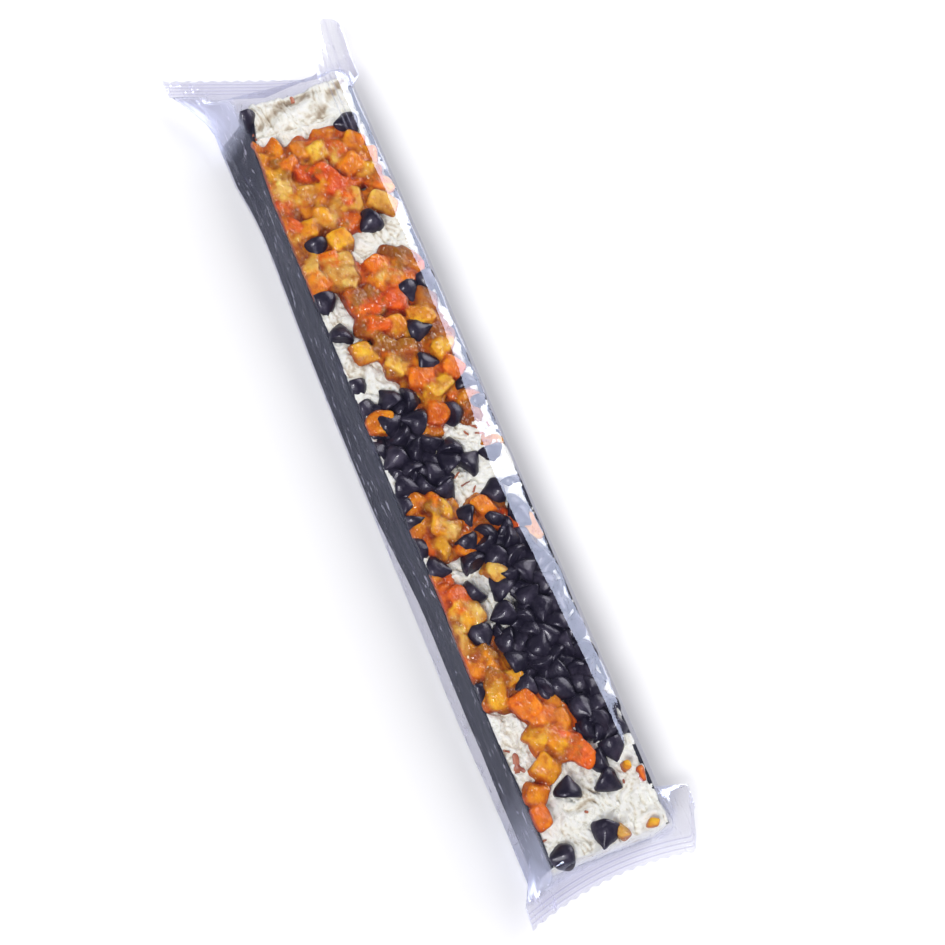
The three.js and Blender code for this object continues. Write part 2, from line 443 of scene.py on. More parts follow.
finish_piece(film, "film")

# %% [markdown]
# ## Building materials from nodes
# Each finish starts from a Principled shader, and patterns read Object coordinates so that they stay on
# the piece from every side. A few helpers add a node and feed its inputs, which keeps the recipes short
# enough to read as a list of what the finish is made of.

# %% Node helpers
def new_finish(name):
    material = bpy.data.materials.new(name)
    material.use_nodes = True
    tree = material.node_tree
    return material, tree, tree.nodes["Principled BSDF"]


def feed(node, inputs):
    """Gives inputs, by name or number, a plain value or the output of another node of the tree."""
    for key, value in inputs.items():
        if isinstance(value, bpy.types.NodeSocket):
            node.id_data.links.new(value, node.inputs[key])
        else:
            node.inputs[key].default_value = value


def add_node(tree, kind, inputs=None, **properties):
    node = tree.nodes.new("ShaderNode" + kind)
    for key, value in properties.items():
        setattr(node, key, value)
    feed(node, inputs or {})
    return node


def attribute_of(tree, name):
    return add_node(tree, "Attribute", attribute_name=name).outputs["Fac"]


def noise_at(tree, scale, detail=4.0, roughness=0.55, stretch=(1, 1, 1)):
    """Noise with about this many lumps to the metre, on Object coordinates, longer where stretch is small."""
    place = add_node(tree, "TexCoord")
    drawn = add_node(tree, "Mapping", {"Vector": place.outputs["Object"], "Scale": stretch})
    inputs = {"Vector": drawn.outputs[0], "Scale": scale, "Detail": detail, "Roughness": roughness}
    return add_node(tree, "TexNoise", inputs).outputs["Fac"]


def ramp(value, stops):
    """A colour ramp through (place, colour) stops."""
    node = add_node(value.id_data, "ValToRGB", {"Fac": value})
    elements = node.color_ramp.elements
    while len(elements) < len(stops):
        elements.new(0.5)
    for element, (place, colour) in zip(elements, stops):
        element.position = place
        element.color = (*colour, 1)
    return node.outputs["Color"]


def mix_colours(share, first, second, way="MIX"):
    inputs = {0: share, 6: first, 7: second}
    return add_node(first.id_data, "Mix", inputs, data_type="RGBA", blend_type=way).outputs[2]


def multiplied(first, second):
    return mix_colours(1.0, first, second, "MULTIPLY")


def mix_shaders(share, first, second):
    return add_node(first.id_data, "MixShader", {0: share, 1: first.outputs[0], 2: second.outputs[0]})


def times_plus(value, factor, extra=0.0):
    """value * factor + extra, where factor and extra are outputs or plain numbers."""
    inputs = {0: value, 1: factor, 2: extra}
    return add_node(value.id_data, "Math", inputs, operation="MULTIPLY_ADD").outputs[0]


def bump(height, strength, distance):
    inputs = {"Height": height, "Strength": strength, "Distance": distance}
    return add_node(height.id_data, "Bump", inputs).outputs[0]


def put_on(piece, finish):
    piece.data.materials.append(finish)
    print(finish.name, "finish:", len(finish.node_tree.nodes), "nodes")


# %% [markdown]
# ## Clear lilac film
# The film lets most light straight through with a lilac tint and mirrors the rest, more at a glancing
# angle. A Transparent shader passes the light without bending it, as a thin sheet does, and a mirror is
# mixed in by a curve on the facing angle. Glass would bend the light as a solid block of it would. Milky
# film mirrors more light but less sharply, and a thin veil scatters some. Where the film hangs slack,
# fine wrinkles along the bar break its reflections up and rubbed specks show white.

# %% Film finish
MIRROR_TINT = (0.7, 0.765, 1.0, 1)
HAZE = (0.78, 0.77, 0.93, 1)
CLEAR_MIRROR = 0.055
MILKY_MIRROR = 0.45
GLANCING_MIRROR = 0.5
GLANCING_POWER = 6.0
CLEAR_BLUR = 0.05
MILKY_BLUR = 0.5
MILKY_VEIL = 0.32
film_finish, tree, mirror = new_finish("film")
slack = attribute_of(tree, "slack")
milky = attribute_of(tree, "milky")
wrinkles = noise_at(tree, 420, 3.0, 0.6, (0.22, 1, 0.7))
creased = bump(times_plus(slack, wrinkles), 0.5, 0.0008)
blur = times_plus(milky, MILKY_BLUR, CLEAR_BLUR)
feed(mirror, {"Base Color": MIRROR_TINT, "Metallic": 1.0, "Roughness": blur, "Normal": creased})
# The tint follows the pressing, which also holds painted shade on the long sides and past the far crease, and
# painted light on the right of the near fin.
tint = ramp(
    attribute_of(tree, "pressed_and_painted_shade"),
    [(0.0, (0.985, 0.984, 0.992)), (0.3, (0.938, 0.934, 0.966)), (1.0, (0.85, 0.842, 0.92))],
)
clear = add_node(tree, "BsdfTransparent", {"Color": tint})
facing = add_node(tree, "LayerWeight", {"Normal": creased, "Blend": 0.5}).outputs["Facing"]
steep = add_node(tree, "Math", {0: facing, 1: GLANCING_POWER}, operation="POWER").outputs[0]
sheen = times_plus(milky, MILKY_MIRROR, CLEAR_MIRROR)
mixed = mix_shaders(times_plus(steep, GLANCING_MIRROR, sheen), clear, mirror)
passed = add_node(tree, "BsdfTranslucent", {"Color": HAZE})
thrown_back = add_node(tree, "BsdfDiffuse", {"Color": HAZE})
haze = mix_shaders(0.5, passed, thrown_back)
specks = noise_at(tree, 900, 2.0, 0.5, (0.2, 1, 0.6))
rubbed = add_node(tree, "MapRange", {"Value": specks, "From Min": 0.61, "From Max": 0.7, "To Max": 0.5})
veil = times_plus(rubbed.outputs[0], slack, times_plus(milky, MILKY_VEIL))
hazed = mix_shaders(veil, mixed, haze)
feed(tree.nodes["Material Output"], {"Surface": hazed.outputs[0]})
put_on(film, film_finish)

# %% [markdown]
# ## The nougat slab
# Nougat is whipped, so its top is torn into lumps and creases, and its edges sag. A fine grid gets its
# sides by extruding the rim down in steps, and noise in several sizes moves the points: broad swells,
# lumps of a few millimetres, and torn creases, whose noise is itself pushed about by a broader one. The
# slab gives way under the toppings, so their zones are listed first, and two deep folds cross its
# smoother far end. A zone of orange also has its mean tone and its shares of amber and pale pieces.

# %% Relief of the nougat
NOUGAT_HEIGHT = 21.6
FAR_BULGE = 3.6
NOUGAT_RIGHT = HALF_WIDTH - 0.1
CHIP_HEAPS = ((42, 82, 4, 20), (66, 92, -5, 8), (82, 110, 7, 20), (26, 44, 6, 18), (-22, 10, -18, -2))
DICE_ZONES = (
    (-129, -94, -21, 18, 0.08, 0.0, 0.06), (-93, -72, -21, -3, 0.12, 0.12, 0.18),
    (-76, -46, -9, 18, 0.36, 0.28, 0.15), (-44, -10, -4, 18, 0.22, 0.4, 0.22),
    (14, 36, -17, -2, 0.1, 0.8, 0.05), (19, 31, 3, 13, 0.2, 0.5, 0.1),
    (44, 90, -21, -13, 0.25, 0.42, 0.12), (66, 79, -14, -8, 0.35, 0.3, 0.1),
    (90, 112, -7, 3, 0.1, 0.1, 0.05),
)
HEAP_HOLLOW = 2.4
FAR_FOLDS = (
    (-139.5, -14.8, -143.3, -4.7), (-143.3, -4.7, -145, 6),
    (-138.8, 8.4, -142.5, 14.8), (-142.5, 14.8, -145.3, 22),
)
FOLD_DEPTH = 1.8
FOLD_WIDTH = 1.7


def nougat_left(x):
    return left_shoulder(x) - 0.4 - 4.5 * smooth(-126, -146, x)


def heap_share(x, y):
    """1 well inside a zone of toppings and 0 outside them all."""
    zones = [zone[:4] for zone in CHIP_HEAPS + DICE_ZONES]
    inside = max(min(x - x0, x1 - x, y - y0, y1 - y) for x0, x1, y0, y1 in zones)
    return smooth(-2, 2, inside)


def fold_share(x, y):
    """1 in the bottom of a fold at the far end and 0 away from the folds."""
    if x > -130:
        return 0.0
    gaps = []
    for x0, y0, x1, y1 in FAR_FOLDS:
        run = np.array((x1 - x0, y1 - y0))
        start = np.array((x0, y0))
        along = np.clip((np.array((x, y)) - start) @ run / (run @ run), 0, 1)
        gaps.append(math.dist((x, y), start + along * run))
    return math.exp(-((min(gaps) + 0.8 * rough(x, y, 3, 5.2)) / FOLD_WIDTH) ** 2)


def nougat_top(x, y):
    swell = 0.6 * rough(x, y, 28, 3.1) + 0.5 * rough(x, y, 11, 7.7)
    rim = 0.9 * max(smooth(14, 21, abs(y)), smooth(130, 142, abs(x)))
    right_sag = smooth(20, NOUGAT_RIGHT + 0.3, y)
    left_sag = 0.5 * smooth(18, nougat_left(x) + 0.3, -y)
    end_sag = 1.2 * smooth(142, 146.5, abs(x))
    given_way = HEAP_HOLLOW * heap_share(x, y) + FOLD_DEPTH * fold_share(x, y)
    return NOUGAT_HEIGHT + swell + rim - right_sag - left_sag - end_sag - given_way


def tear(x, y):
    pushed_x = x + 4 * rough(x, y, 8, 1.9)
    pushed_y = y + 4 * rough(x, y, 8, 4.6)
    broad = noise.turbulence(Vector((pushed_x / 9, pushed_y / 7, 0.4)), 3, True)
    fine = noise.turbulence(Vector((pushed_x / 3.4, pushed_y / 2.6, 5.4)), 4, True)
    torn = 1.3 - 0.7 * smooth(-126, -134, x)
    return 2.6 * (broad - 0.45) + torn * (fine - 0.45) + 0.4 * rough(pushed_x, pushed_y, 1.1, 8.8)


# %% Shape the slab
NOUGAT_ROWS = 680
NOUGAT_COLUMNS = 108
SIDE_STEPS = 10
NOUGAT_BASE = 1.2


def coat_left(x, z):
    """Distance of the coat's left face from the middle line, at a height."""
    base = left_base(max(x, -BODY_END)) - 0.5 - 2.9 * smooth(0, 50, x) + 0.8 * smooth(95, 120, x)
    top = left_shoulder(x) - 0.1 - 4.5 * smooth(-126, -146, x)
    return np.interp(z, (0.2, 24.0), (base, top))


bpy.ops.mesh.primitive_grid_add(x_subdivisions=NOUGAT_ROWS, y_subdivisions=NOUGAT_COLUMNS, size=2)
nougat = bpy.context.object
edit_all()
bpy.ops.mesh.region_to_loop()
for step in range(SIDE_STEPS):
    extrude_up(-1)
bpy.ops.mesh.edge_face_add()
end_edit()
shaped = points_of(nougat)
folded = []
for point in shaped:
    down = -point[2] / SIDE_STEPS
    on_end = abs(point[0]) > 0.999
    on_side = abs(point[1]) > 0.999
    x = point[0] * HALF_LENGTH
    y = point[1] * (NOUGAT_RIGHT if point[1] > 0 else nougat_left(x))
    folded.append(fold_share(x, y))
    top = min(nougat_top(x, y) + tear(x, y), film_top(x, y) - 0.4)
    z = blend(top, NOUGAT_BASE, down)
    if y < 0:
        y = point[1] * min(nougat_left(x), coat_left(x, z) - 0.8)
    cut = 0.5 * rough(z + 40, y if on_end else x, 3.5, 6.1)
    lip = FAR_BULGE + 1.8 * smooth(0, 20, y)
    bulge = lip * smooth(-138, -146, x) * smooth(8, 20, z)
    point[0] = x - bulge + (math.copysign(cut, x) if on_end else 0)
    point[1] = y + (math.copysign(cut, y) * 0.4 if on_side else 0)
    point[2] = z
set_points(nougat, shaped)
# The far folds join the crease attribute, so the finish darkens them as painted shade.
keep_creases(nougat, 2, np.array(folded))
finish_piece(nougat, "nougat")

# %% [markdown]
# ## Nougat finish
# The nougat is a warm white with a few tan streaks where it dried, and its creases and far folds are
# darkened towards tan as painted shade. The crease attribute and a noise give the colour, and a finer
# noise gives the crumb and darkens its low spots as painted shade. A little light passes under the surface.

# %% Nougat colours
WHITE = (1, 1, 1)
# Cream to tan: the tan is the dry streaks' own colour and also painted shade in creases.
CREAM_TO_TAN_AND_SHADE = (
    (0.42, (0.98, 0.98, 0.91)), (0.56, (0.94, 0.925, 0.82)),
    (0.69, (0.7, 0.63, 0.5)), (0.85, (0.42, 0.33, 0.23)),
)
nougat_finish, tree, shader = new_finish("nougat")
dry_streaks = noise_at(tree, 110, 6.0, 0.6)
# Creases darken the colour as painted shade; the dry streaks are the nougat's own tan.
crease_shade_and_streaks = times_plus(attribute_of(tree, "crease"), 0.24, dry_streaks)
colours = ramp(crease_shade_and_streaks, CREAM_TO_TAN_AND_SHADE)
crumb = noise_at(tree, 430, 6.0, 0.68)
# Painted shade: the crumb noise darkens its own low spots.
crumb_shade = ramp(crumb, [(0.33, (0.7, 0.68, 0.62)), (0.43, (0.96, 0.955, 0.94)), (0.52, WHITE)])
feed(shader, {"Base Color": multiplied(colours, crumb_shade), "Roughness": 0.55})
feed(shader, {"Normal": bump(crumb, 0.9, 0.0013), "Subsurface Weight": 0.12})
feed(shader, {"Subsurface Radius": (1.0, 0.9, 0.7), "Subsurface Scale": 0.0015})
put_on(nougat, nougat_finish)

# %% [markdown]
# ## The chocolate coat
# A thin layer of dark chocolate covers the base and both long sides and ends in an uneven rim near the
# top. A box loses its top and its two ends, which leaves a channel. Its long lower edges are bevelled,
# Solidify gives it a wall, and noise makes the rim and the sides uneven. The right rim shows as a broken
# dark line under the edge of the film, and sinks towards the near end.

# %% Shape the coat
COAT_WALL = 1.1
COAT_RIM = 21.8
COAT_FLOOR = 0.2
RIGHT_RISE = 0.3
RIGHT_SINK = 0.7
LEFT_RAGGED = 0.4
RIGHT_RAGGED = 1.3
CUTS_ALONG = 150
CUTS_UP = 7


def select_where(kind, wanted):
    """Selects the faces or the edges of the coat that the rule wants."""
    edited = bmesh.from_edit_mesh(coat.data)
    for item in getattr(edited, kind):
        item.select_set(wanted(item))
    bmesh.update_edit_mesh(coat.data)


def span_of(edge):
    return edge.verts[0].co - edge.verts[1].co


def apply_modifier(piece, kind, **settings):
    modifier = piece.modifiers.new(kind, kind)
    for key, value in settings.items():
        setattr(modifier, key, value)
    bpy.ops.object.modifier_apply(modifier=modifier.name)


bpy.ops.mesh.primitive_cube_add(size=1)
coat = bpy.context.object
coat.scale = (BAR_LENGTH, BAR_WIDTH + 0.2, COAT_RIM - COAT_FLOOR)
coat.location = (0, 0, (COAT_RIM + COAT_FLOOR) / 2)
bpy.ops.object.transform_apply(location=True, rotation=True, scale=True)
bpy.ops.object.mode_set(mode="EDIT")
bpy.ops.mesh.select_all(action="DESELECT")
select_where("faces", lambda face: face.normal.z > 0.9 or abs(face.normal.x) > 0.9)
bpy.ops.mesh.delete(type="ONLY_FACE")
bpy.ops.mesh.select_mode(type="EDGE")
select_where("edges", lambda edge: max(v.co.z for v in edge.verts) < 1 and abs(span_of(edge).x) > 1)
bpy.ops.mesh.bevel(offset=1.2, segments=3, affect="EDGES")
for number_cuts, axis in ((CUTS_ALONG, 0), (CUTS_UP, 2)):
    select_where("edges", lambda edge: abs(span_of(edge)[axis]) > 10)
    bpy.ops.mesh.subdivide(number_cuts=number_cuts)
bpy.ops.mesh.select_mode(type="VERT")
bpy.ops.object.mode_set(mode="OBJECT")
apply_modifier(coat, "SOLIDIFY", thickness=COAT_WALL, offset=-1)
uneven = points_of(coat)
for point in uneven:
    x, y, z = point
    high = smooth(14, COAT_RIM, z)
    on_side = smooth(15, 20, abs(y))
    if y < 0:
        outer = coat_left(x, z)
        point[1] = y * blend(1, outer / (HALF_WIDTH + 0.1), on_side)
    ragged = LEFT_RAGGED if y < 0 else RIGHT_RAGGED
    raised = 0 if y < 0 else RIGHT_RISE - RIGHT_SINK * smooth(80, 115, x)
    point[2] += high * (ragged * rough(x, y, 9, 4.4) + 0.35 * rough(x, y, 3, 9.1) + raised)
    point[1] += math.copysign(0.16 * rough(x, z * 2, 6, 2.2), y) * on_side
set_points(coat, uneven)
finish_piece(coat, "chocolate_coat", 60)

# %% [markdown]
# ## Dark chocolate finish
# Chips and coat are the same dark, almost blue-black chocolate, but the chips are shinier. Noise breaks
# their satin shine up and gives faint grey patches, partly bloom where pieces rubbed and partly painted
# sheen.

# %% Chocolate colours
chocolate_finish, tree, shader = new_finish("dark_chocolate")
bloom_and_painted_sheen = noise_at(tree, 160, 5.0, 0.6)
# Lighter grey-violet patches are partly bloom and partly painted sheen.
colours = ramp(
    bloom_and_painted_sheen,
    [(0.35, (0.006, 0.004, 0.012)), (0.52, (0.011, 0.008, 0.019)), (0.75, (0.05, 0.041, 0.066))],
)
shine = add_node(
    tree,
    "MapRange",
    {"Value": bloom_and_painted_sheen, "From Min": 0.3, "From Max": 0.7, "To Min": 0.28, "To Max": 0.5},
)
pits = bump(noise_at(tree, 420, 4.0, 0.6), 0.5, 0.0009)
feed(shader, {"Base Color": colours, "Roughness": shine.outputs[0], "Normal": pits})
feed(shader, {"Specular IOR Level": 0.24, "Specular Tint": (0.85, 0.8, 1.0, 1)})
feed(shader, {"Coat Weight": 0.2, "Coat Roughness": 0.12})
print("chocolate finish:", len(tree.nodes), "nodes")

# %% [markdown]
# ## Coat finish
# The coat was poured and then rubbed against the film, so it is duller than the chips and has pale smears
# along the bar, which partly stand for painted reflection streaks. A noise that is stretched lengthwise
# gives the smears, and a second one gives the low ripples of poured chocolate. It is a finish of its own,
# because the chips have neither.

# %% Coat colours
coat_finish, tree, shader = new_finish("chocolate_coat")
# Pale lengthwise smears: partly rubbed chocolate, partly painted reflection streaks from the film.
smears_and_painted_sheen = ramp(
    noise_at(tree, 300, 5.0, 0.65, (0.3, 1, 1)),
    [(0.42, (0.004, 0.003, 0.009)), (0.62, (0.012, 0.011, 0.022)), (0.78, (0.13, 0.125, 0.19))],
)
poured = bump(noise_at(tree, 200, 2.0), 0.4, 0.0008)
feed(shader, {"Base Color": smears_and_painted_sheen, "Roughness": 0.6, "Specular IOR Level": 0.12, "Normal": poured})
put_on(coat, coat_finish)

# %% [markdown]
# ## One chocolate chip
# A chip is a drop that was set on a belt: a flat base with a sharp rim, full flanks and a short tip. A filled
# circle is extruded upwards ring by ring and each ring is scaled, as a potter would raise it, and the
# last one is merged to a point.

# %% Model the chip
CHIP_RADIUS = 4.8
CHIP_HEIGHT = 7.5
CHIP_RINGS = (
    (0.05, 0.985), (0.14, 1.0), (0.27, 0.96), (0.41, 0.86), (0.55, 0.71), (0.68, 0.53),
    (0.8, 0.35), (0.9, 0.21), (0.97, 0.11),
)
CHIP_FOOT = 0.92
bpy.ops.mesh.primitive_circle_add(vertices=20, radius=CHIP_RADIUS * CHIP_FOOT, fill_type="NGON")
chip = bpy.context.object
edit_all()
height, radius = 0.0, CHIP_FOOT
for next_height, next_radius in CHIP_RINGS:
    extrude_up((next_height - height) * CHIP_HEIGHT)
    grow = next_radius / radius
    bpy.ops.transform.resize(value=(grow, grow, 1))
    height, radius = next_height, next_radius
extrude_up(0.04 * CHIP_HEIGHT)
bpy.ops.mesh.merge(type="CENTER")
end_edit()
chip_points = points_of(chip) - np.array((0, 0, 0.35 * CHIP_HEIGHT))
chip_faces = [tuple(face.vertices) for face in chip.data.polygons]
print("one chip:", len(chip_faces), "faces")
bpy.data.objects.remove(chip)

# %% [markdown]
# ## Where the chips lie
# Some chips lie apart and are listed with the way the tip points. The rest fill the heaps, whose zones
# were listed with the nougat, by chance and with a least distance so that no two lie in the same place.
# The top of the last heap is listed chip by chip, so chance fills only its lower layer.

# %% Places of the chips
SINGLE_CHIPS = (
    (-144, -19, 0), (-131, 15, 270), (-91, 9, 300), (-87, -13, 0), (-66, -18, 0),
    (-53, -17, 160), (-61, 12, 10), (-63, 20, 0), (-46, 10, 85), (-33, 8, 75),
    (-32, -19, 0), (-22, -3, 80), (-13, 10, 100), (-14, 20, 0), (-23, 18, 180),
    (19, 12, 270), (39, -17, 60), (51, -9, 300), (61, -2, 280), (66, -12, 0),
    (87, -5, 280), (119, 9, 270), (126, 9, 45), (124, -5, 160), (142, 1, 330),
    (144, -16, 265), (84, -20, 0), (116, 15, 0),
    (-23, -19, 20), (-24, -10, 200), (-14, -4.5, 250), (-10, -11, 30), (-9, -20, 140),
    (-3, -16, 300), (2, -12, 190), (-5, -2, 330), (6, -5, 80), (4, 1, 210), (13, -4, 20),
    (6, 8, 120), (5, 17, 0), (-16, -13, 100), (-4, -8, 240), (8, -16, 60), (-1, 4, 160),
    (13, -20, 200), (21, -18, 340), (30, -19, 90), (18, 20, 0), (10, -10, 300),
    (24, -0.5, 240), (34, -4, 10), (32, 4, 130), (40, -5, 200), (37, 11, 60), (28, 8, 320),
    (42, 3, 300), (36, 2, 30), (70, -5, 250), (78, -4, 100), (52, 1, 210),
)
CHIP_SPACING = 4.8
TRIES = 400
draw = randoms(20261).__next__


def apart(places, x, y, spacing):
    return all(math.hypot(place[0] - x, place[1] - y) > spacing for place in places)


def scatter(zone, spacing):
    x0, x1, y0, y1 = zone
    places = []
    for attempt in range(TRIES):
        x = blend(x0, x1, draw())
        y = blend(y0, y1, draw())
        if apart(places, x, y, spacing):
            places.append((x, y))
    return places


chip_places = [(x, y, math.radians(tip)) for x, y, tip in SINGLE_CHIPS]
for heap in CHIP_HEAPS[:-1]:
    for x, y in scatter(heap, CHIP_SPACING):
        if apart(chip_places, x, y, CHIP_SPACING):
            chip_places.append((x, y, 2 * math.pi * draw()))
top_chips = len(chip_places)
for heap in CHIP_HEAPS:
    chip_places += [(x, y, 2 * math.pi * draw()) for x, y in scatter(heap, CHIP_SPACING)]
print(top_chips, "chips on top,", len(chip_places) - top_chips, "below them")

# %% [markdown]
# ## Copies of the chip
# Every copy is turned, tipped, scaled and dented a little, so that no two are alike, and pressed down
# where it would come through the film. Listed chips rest on their sides, and those laid by chance lean
# all ways. The dents come from a vector noise, which Blender starts from the clock unless it is given a
# seed. All copies become one mesh, which is light to handle.

# %% Lay the chips
RIGHT_LIMIT = HALF_WIDTH + 0.2
FILM_CLEARANCE = 0.25


def under_film(points):
    """Lowers a body until it is clear of the film above it, and keeps it inside the sides."""
    points[:, 1] = np.clip(points[:, 1], 0.2 - left_shoulder(points[:, 0]), RIGHT_LIMIT)
    over = points[:, 2] - film_top(points[:, 0], points[:, 1]) + FILM_CLEARANCE
    points[:, 2] -= max(0, over.max())
    return points


def joined_mesh(name, parts, faces):
    """One mesh from copies that share the same faces, as the active piece."""
    count = len(parts[0])
    all_faces = [tuple(i + n * count for i in face) for n in range(len(parts)) for face in faces]
    mesh = bpy.data.meshes.new(name)
    mesh.from_pydata(np.concatenate(parts).tolist(), [], all_faces)
    piece = bpy.data.objects.new(name, mesh)
    bpy.context.collection.objects.link(piece)
    pick(piece)
    return piece


DENT_SEED = 20262
noise.seed_set(DENT_SEED)


def dented(points, seed, size, depth):
    moved = [noise.noise_vector(Vector(point) / size + Vector((seed, 0, -seed))) for point in points]
    return points + depth * np.array(moved)


LEAN_LISTED = 1.1
LEAN_BY_CHANCE = 2.3
MOST_TILT = 2.25
LOWER_LAYER = -2.2
chip_copies = []
for number, (x, y, turn) in enumerate(chip_places):
    lean = LEAN_LISTED if number < len(SINGLE_CHIPS) else LEAN_BY_CHANCE
    tilt = min(math.pi / 2 + lean * (0.5 - draw()), MOST_TILT)
    z = NOUGAT_HEIGHT + (0.6 + 1.2 * draw() if number < top_chips else LOWER_LAYER)
    stretch = np.array((0.94 + 0.12 * draw(), 0.94 + 0.12 * draw(), 0.95 + 0.2 * draw()))
    turned = Matrix.Rotation(turn, 3, "Z") @ Matrix.Rotation(tilt, 3, "Y")
    spun = turned @ Matrix.Rotation(6.28 * draw(), 3, "Z")
    body = dented(chip_points * stretch, number * 3.7, size=3.0, depth=0.5)
    chip_copies.append(under_film(body @ np.array(spun).T + np.array((x, y, z))))
chips = joined_mesh("chocolate_chips", chip_copies, chip_faces)
finish_piece(chips, "chocolate_chips", 50)
chips.data.materials.append(chocolate_finish)

# %% [markdown]
# ## One piece of candied orange
# Candied peel and flesh is cut into rough dice that soften in syrup. A cube is bevelled and subdivided
# so that it has rounded edges, and each copy is then stretched and dented in its own way.

# %% Model the die
bpy.ops.mesh.primitive_cube_add(size=1)
die = bpy.context.object
edit_all()
bpy.ops.mesh.bevel(offset=0.22, segments=2, affect="EDGES")
bpy.ops.object.mode_set(mode="OBJECT")
apply_modifier(die, "SUBSURF", levels=1, render_levels=1)
die_points = points_of(die)
die_faces = [tuple(face.vertices) for face in die.data.polygons]
print("one die:", len(die_faces), "faces")
bpy.data.objects.remove(die)

# %% [markdown]
# ## Where the orange lies
# The dice lie in clumps. Large or striking ones are listed with their size, turn and tone, and the
# clumps are filled by chance, first with dice that keep clear of the chips and then with a lower layer. A
# few more lie on top of all that. The tone runs from yellow flesh at 0 to red peel at 1, with pale rind
# below that and amber syrup above it.

# %% Places of the orange
MARKED_DICE = (
    (-113, 1, 8.5, 7, 20, 0.95), (-107, 4, 9.5, 8.5, 60, 0.85), (-103, 6, 7, 6, 10, 0.9),
    (-103, -19, 8.5, 6, -15, 0.9), (-97, -18, 7, 6, 40, 0.8), (-116, -7, 8.5, 6, -10, 0.85),
    (-57, -5, 7, 7, 30, 0.9), (-52, -3, 7, 6, 70, 0.8), (-58, 6, 7, 8.5, 80, 1.0),
    (-44, -12, 8.5, 7, 10, 0.0), (-17, -17, 9.5, 9.5, 60, 0.35), (46, -20, 8.5, 6, 0, 0.7),
    (52, -20, 7, 6, 30, 0.75), (51, -14, 11, 7, 20, 0.85), (87, -15, 7, 9.5, 75, 0.05),
    (83, -7, 6, 6, 0, 0.0), (93, -8, 9.5, 8.5, 20, 0.6), (97, -3, 9.5, 8.5, 60, 0.45),
    (103, -7, 11, 9.5, 50, -0.05), (107, -2, 9.5, 8.5, 20, 0.25), (111, 3, 9.5, 8.5, -20, 0.95),
    (116, 5, 8.5, 7, 30, 0.8), (115, -9, 9.5, 9.5, 40, 0.15), (122.5, -15.5, 9, 9, 60, 0.35),
    (130, -17, 9, 8.5, 10, 0.65), (144, 17, 3.5, 4, 60, 0.0), (124, 17, 4, 3, 0, 0.1),
    (58, -11, 9.5, 6, 10, -0.4), (-77, -17, 7, 4, 35, -0.4), (-78, -7, 11, 11, 5, -0.25),
    (-69, 8, 8.5, 7, 60, -0.2), (46.5, 1, 9, 8, 30, -0.3), (143, 6, 6, 4, 20, -0.3),
    (1, 19, 9.5, 6, 40, -0.1), (36, 20, 11, 6, 10, -0.2), (128, 20, 5, 3, 0, 0.6),
)
TOP_DICE = (
    (20, -8, 8, 7, 30, 0.0), (28, -9, 7.5, 7, 60, -0.3), (32.5, -12, 8, 5, 10, -0.15),
    (15, -10, 7, 6, 45, 0.45), (23, 6, 8, 6, 20, 0.4), (67, -19, 8, 4, 0, -0.3), (77, -14, 9, 6, 20, 0.3),
)
PALE = -0.4
AMBER = 1.4
TONE_SPREAD = 0.95
DIE_SIZE = 9.8
DIE_SPACING = 5.8
MARKED_SPACING = 5.5
CHIP_CLEARANCE = 6.4
LOWER_SPACING = 5.2
LOWER_CLEARANCE = 6
ON_TOP = 1.4
dice_places = [(*place, math.radians(turn), tone, 1) for *place, turn, tone in MARKED_DICE]


def drawn_tone(tone, amber_share, pale_share):
    chance = draw()
    if chance < amber_share:
        return AMBER
    return PALE if chance > 1 - pale_share else tone + TONE_SPREAD * (draw() - 0.5)


for *zone, tone, amber_share, pale_share in DICE_ZONES:
    for x, y in scatter(zone, DIE_SPACING):
        by_chip = not apart(chip_places[:top_chips], x, y, CHIP_CLEARANCE)
        if apart(dice_places, x, y, MARKED_SPACING) and not by_chip:
            long = DIE_SIZE * (0.7 + 0.5 * draw() ** 2)
            wide = DIE_SIZE * (0.6 + 0.4 * draw())
            own_tone = drawn_tone(tone, amber_share, pale_share)
            dice_places.append((x, y, long, wide, math.pi * draw(), own_tone, 1))
for *zone, tone, amber_share, pale_share in DICE_ZONES:
    for x, y in scatter(zone, LOWER_SPACING):
        own_tone = drawn_tone(tone + 0.12, 0.12 + 0.6 * amber_share, 0)
        level = 0 if apart(chip_places[:top_chips], x, y, LOWER_CLEARANCE) else -1
        dice_places.append((x, y, DIE_SIZE, 0.9 * DIE_SIZE, math.pi * draw(), own_tone, level))
dice_places += [(*place, math.radians(turn), tone, ON_TOP) for *place, turn, tone in TOP_DICE]
print(len(dice_places), "pieces of orange")

# %% [markdown]
# ## Fusing the orange
# Syrup glues the dice to each other, so their sides run together in soft fillets. The dice are laid with
# their corners moved and their faces dented, the lower layer closes the gaps between them, and a voxel
# remesh then makes one skin of them all.

# %% Lay the orange
DIE_HEIGHT = 5.6
LEVEL_STEP = 1.3
VOXEL = 0.58
CORNERS = np.array([(a, b, c) for a in (0, 1) for b in (0, 1) for c in (0, 1)])


def warped(points, amount):
    """Moves the eight corners by chance and carries the points between them along."""
    moves = amount * (2 * np.array([[draw(), draw(), draw()] for corner in CORNERS]) - 1)
    shares = points + 0.5
    result = points.copy()
    for corner, move in zip(CORNERS, moves):
        weight = np.prod(np.where(corner, shares, 1 - shares), axis=1)
        result += weight[:, None] * move
    return result


